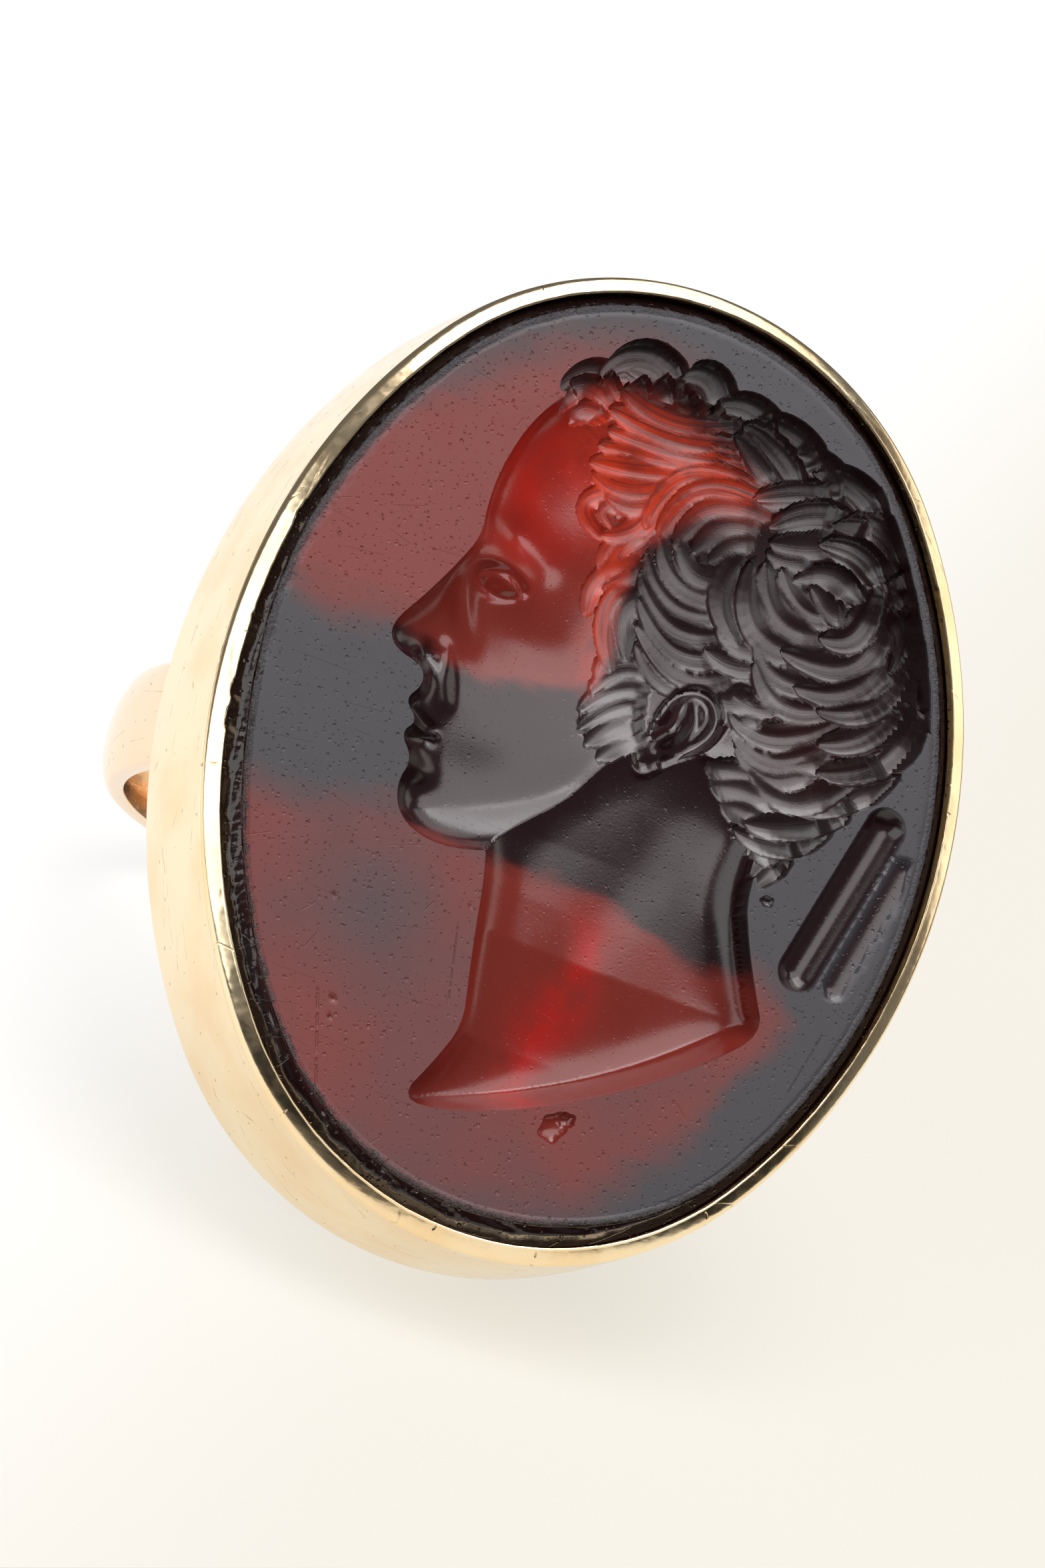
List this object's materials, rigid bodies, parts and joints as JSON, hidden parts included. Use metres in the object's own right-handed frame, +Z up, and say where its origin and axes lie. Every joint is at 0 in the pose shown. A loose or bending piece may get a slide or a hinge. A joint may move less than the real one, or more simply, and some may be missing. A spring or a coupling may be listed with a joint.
{
  "type": "intaglio finger ring",
  "caption": "Gold finger ring with a large oval bezel holding a dark red banded glass intaglio of a classical head, lying on its side.",
  "frame": {"origin": "middle of the bounding box's underside, on the table that the ring rests on", "axes": "+Z up; the ring lies on its side on the hoop's rim and the bezel's end, the stone faces -Y and up; +X is across the finger, to the right seen from the stone's side"},
  "size_m": [0.0224, 0.028, 0.0258],
  "materials": {
    "gold": "polished and worn yellow gold, fine scratches",
    "banded_glass": "glossy near-black glass with dark red bands, opaque in depth"
  },
  "bodies": {
    "root": {"ring_mount": "gold", "intaglio_stone": "banded_glass"}
  },
  "joints": []
}
